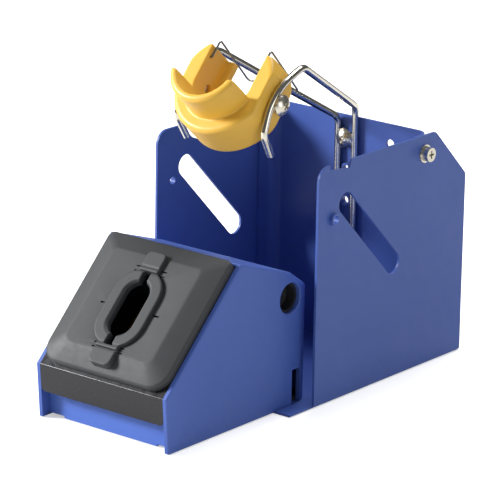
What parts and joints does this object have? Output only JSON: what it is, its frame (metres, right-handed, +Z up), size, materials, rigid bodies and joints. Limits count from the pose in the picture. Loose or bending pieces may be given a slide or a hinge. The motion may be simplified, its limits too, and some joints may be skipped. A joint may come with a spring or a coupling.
{
  "type": "soldering iron station",
  "caption": "Desk station that parks a hot soldering iron in an adjustable receptacle over a sheet-metal holder, with a motor-driven brush tip cleaner in front.",
  "frame": {"origin": "middle of the station's footprint, on the face that rests on the table", "axes": "+X to the station's right, +Y from the cleaner back to the holder, +Z up"},
  "size_m": [0.1084, 0.2173, 0.1676],
  "materials": {
    "case_blue": "moulded ABS, fine texture",
    "panel_blue": "moulded ABS, fine texture",
    "sheet_blue": "powder coat, satin",
    "plate_dark": "satin dark metallic",
    "rubber_grey": "moulded silicone rubber, matt",
    "rubber_black": "moulded rubber, matt",
    "resin_yellow": "moulded phenolic resin, satin",
    "wire_nickel": "nickel plated wire",
    "screw_nickel": "nickel plated steel",
    "steel_plain": "zinc plated steel",
    "bronze": "sintered bronze",
    "brass_wire": "fine brass wire",
    "black_plastic": "moulded nylon",
    "gear_white": "moulded acetal",
    "board_green": "solder mask"
  },
  "bodies": {
    "station": {"cleaner_case": "case_blue", "cleaner_floor": "black_plastic", "cleaner_feet": "rubber_black", "case_screws": "steel_plain", "front_panel": "panel_blue", "folded_plate": "plate_dark", "brush_chamber": "black_plastic", "gear_plate": "steel_plain", "brush_bushes": "bronze", "idler_pin": "steel_plain", "motor": "steel_plain", "debris_tray": "black_plastic", "control_board": "board_green", "board_spacers": "gear_white", "board_components": "black_plastic", "power_inlet": "black_plastic", "holder_base": "sheet_blue", "rear_bracket": "sheet_blue", "bracket_flat_washers": "screw_nickel", "bracket_spring_washers": "screw_nickel", "bracket_screws": "screw_nickel", "base_screws": "steel_plain", "base_nuts": "steel_plain", "clamp_screw": "screw_nickel"},
    "cover": {"rubber_cover": "rubber_grey", "mouth_lip": "rubber_grey"},
    "brush_left": {"brush_shaft_left": "steel_plain", "brush_core_left": "black_plastic", "brush_bristles_left": "brass_wire", "brush_gear_left": "gear_white"},
    "brush_right": {"brush_shaft_right": "steel_plain", "brush_core_right": "black_plastic", "brush_bristles_right": "brass_wire", "brush_gear_right": "gear_white"},
    "idler": {"idler_gear": "gear_white"},
    "rotor": {"motor_shaft": "steel_plain", "motor_pinion": "bronze"},
    "arms": {"wire_arm_left": "wire_nickel", "wire_arm_right": "wire_nickel"},
    "receptacle": {"iron_receptacle": "resin_yellow", "receptacle_washers": "screw_nickel", "receptacle_screws": "screw_nickel"},
    "bail": {"rest_bail": "wire_nickel"}
  },
  "joints": [
    {"name": "cover_lift", "type": "slide", "parent": "station", "child": "cover", "axis": [0, -0.7071, 0.7071], "range_m": [0, 0.025]},
    {"name": "left_brush_spin", "type": "hinge", "parent": "station", "child": "brush_left", "pos_m": [-0.008, -0.06765, 0.03851], "axis": [0, 0.7071, 0.7071], "continuous": true},
    {"name": "right_brush_spin", "type": "hinge", "parent": "station", "child": "brush_right", "pos_m": [0.008, -0.06765, 0.03851], "axis": [0, 0.7071, 0.7071], "continuous": true},
    {"name": "idler_spin", "type": "hinge", "parent": "station", "child": "idler", "pos_m": [-0.008, -0.05917, 0.03003], "axis": [0, 0.7071, 0.7071], "continuous": true},
    {"name": "motor_spin", "type": "hinge", "parent": "station", "child": "rotor", "pos_m": [0, -0.04937, 0.02023], "axis": [0, 0.7071, 0.7071], "continuous": true},
    {"name": "arm_height", "type": "slide", "parent": "station", "child": "arms", "axis": [0, 0, 1], "range_m": [0, 0.03]},
    {"name": "receptacle_tilt", "type": "hinge", "parent": "arms", "child": "receptacle", "pos_m": [0, -0.01265, 0.1453], "axis": [1, 0, 0], "range_deg": [-15, 15]},
    {"name": "bail_swing", "type": "hinge", "parent": "receptacle", "child": "bail", "pos_m": [0, -0.01116, 0.16069], "axis": [1, 0, 0], "range_deg": [-3.5, 100]}
  ],
  "couplings": [
    {"joint": "right_brush_spin", "follows": "left_brush_spin", "ratio": -1},
    {"joint": "idler_spin", "follows": "left_brush_spin", "ratio": -2},
    {"joint": "motor_spin", "follows": "left_brush_spin", "ratio": 6}
  ]
}
